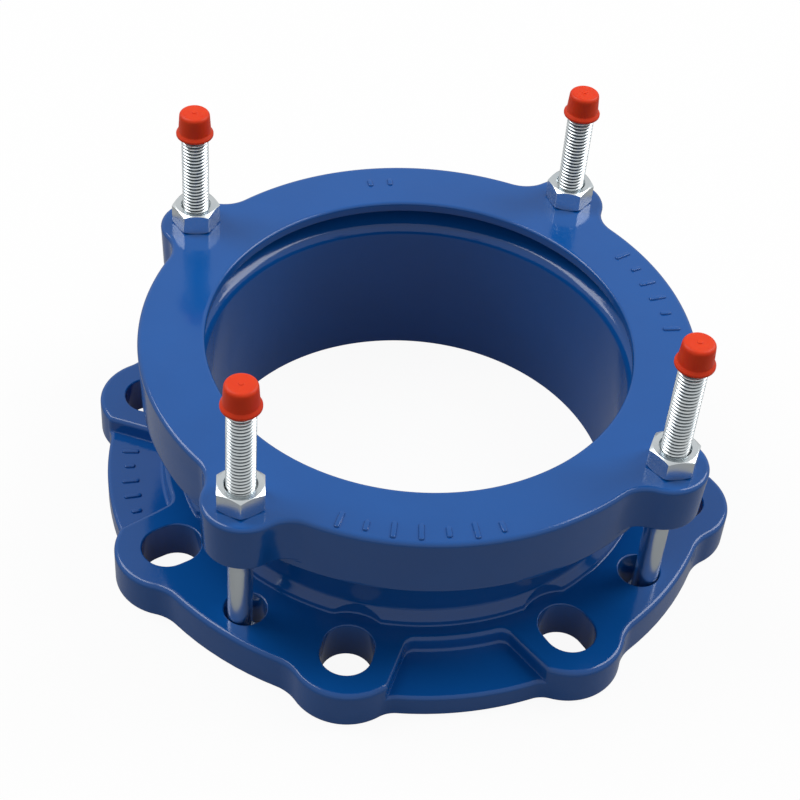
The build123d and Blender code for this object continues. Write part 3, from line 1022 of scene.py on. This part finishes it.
def make_floor():
    """A square 12 m wide, 0.1 mm under the object, mid grey to the light and white to the
    eye. The eye's white is mostly glow, and the rest of it takes the object's shadow."""
    corners = np.array([(-1, -1, 0), (1, -1, 0), (1, 1, 0), (-1, 1, 0)]) * FLOOR_HALF
    corners = corners - (0, 0, FLOOR_DROP * MM)
    mesh = bpy.data.meshes.new("floor")
    mesh.from_pydata(corners.tolist(), [], [[0, 1, 2, 3]])
    floor = bpy.data.objects.new("floor", mesh)
    bpy.context.scene.collection.objects.link(floor)
    material, tree, _ = start_material("white_sweep")
    seen = eye_rays(tree, FLOOR_GLOSS)
    tone = add_node(tree, "Mix", {"data_type": "RGBA"},
                    {0: seen, 6: linear("#757575"), 7: linear("#F4F4F4")})
    matt = add_node(tree, "BsdfDiffuse", inputs={"Color": tone.outputs[2]})
    white = add_node(tree, "Emission", inputs={"Color": (1, 1, 1, 1), "Strength": 1.0})
    glow = add_node(tree, "Math", {"operation": "MULTIPLY"}, {0: seen, 1: FLOOR_GLOW})
    mixed = add_node(tree, "MixShader", inputs={
        0: glow.outputs[0], 1: matt.outputs[0], 2: white.outputs[0]})
    add_node(tree, "OutputMaterial", inputs={"Surface": mixed.outputs[0]})
    mesh.materials.append(material)


def make_world():
    """Dim white light from all round, and full white where the camera sees it."""
    world = bpy.data.worlds.new("studio")
    bpy.context.scene.world = world
    world.use_nodes = True
    tree = world.node_tree
    tree.nodes.clear()
    level = add_node(tree, "MapRange", inputs={
        "Value": eye_rays(tree, WORLD_GLOSS), "To Min": FILL, "To Max": 1.0})
    glow = add_node(tree, "Background", inputs={"Color": (1, 1, 1, 1), "Strength": level.outputs[0]})
    add_node(tree, "OutputWorld", inputs={"Surface": glow.outputs[0]})


make_floor()
make_world()
print("floor in m", 2 * FLOOR_HALF, "fill light", FILL)

# %% Lamps and camera
BOX_DISTANCE = 1600
BOX_W, BOX_H = 700, 1150
BOX_WATTS = 11.4
OBJECT_MIDDLE = (0, 0, 60)
FRAME_PX = 800
FOCAL_PX = 1865.23
CAMERA_AZIMUTH, CAMERA_ELEVATION, CAMERA_ROLL = -13.572, 43.663, 4.979
CAMERA_DISTANCE = 777.06
CAMERA_TARGET = (-15.625, -38.180, 86.486)


def aim_from(thing, azimuth, elevation, distance, target, roll=0.0):
    """Put a lamp or camera at a distance from the target, looking at it. Its axes are
    back, towards the viewer, right, which is level, and up, then rolled about back."""
    a, e, r = (math.radians(v) for v in (azimuth, elevation, roll))
    back = np.array([math.sin(a) * math.cos(e), -math.cos(a) * math.cos(e), math.sin(e)])
    right = np.array([math.cos(a), math.sin(a), 0.0])
    up = np.cross(back, right)
    matrix = np.eye(4)
    matrix[:3, 0] = math.cos(r) * right + math.sin(r) * up
    matrix[:3, 1] = -math.sin(r) * right + math.cos(r) * up
    matrix[:3, 2] = back
    matrix[:3, 3] = np.array(target) * MM + back * distance * MM
    thing.matrix_world = Matrix(matrix.tolist())


def soft_box(name, azimuth, elevation):
    """A tall rectangular area lamp aimed at the middle of the object."""
    lamp = bpy.data.lights.new(name, "AREA")
    lamp.shape, lamp.energy = "RECTANGLE", BOX_WATTS
    lamp.size, lamp.size_y = BOX_W * MM, BOX_H * MM
    holder = bpy.data.objects.new(name, lamp)
    bpy.context.scene.collection.objects.link(holder)
    aim_from(holder, azimuth, elevation, BOX_DISTANCE, OBJECT_MIDDLE)


def make_camera():
    """The picture's camera: 777 mm from a point on the ring's top. Its lens in mm is the
    focal length in pixels times the sensor's width over the frame's width in pixels."""
    data = bpy.data.cameras.new("camera")
    camera = bpy.data.objects.new("camera", data)
    bpy.context.scene.collection.objects.link(camera)
    data.sensor_width = 36.0
    data.lens = data.sensor_width * FOCAL_PX / FRAME_PX
    data.clip_start, data.clip_end = 0.05, 20.0
    aim_from(camera, CAMERA_AZIMUTH, CAMERA_ELEVATION, CAMERA_DISTANCE, CAMERA_TARGET, CAMERA_ROLL)
    bpy.context.scene.camera = camera
    return camera


soft_box("left_box", -119, 52)
soft_box("right_box", 100, 46)
camera = make_camera()
bpy.context.scene.view_settings.view_transform = "Standard"
print("camera at", [round(v, 3) for v in camera.matrix_world.translation])
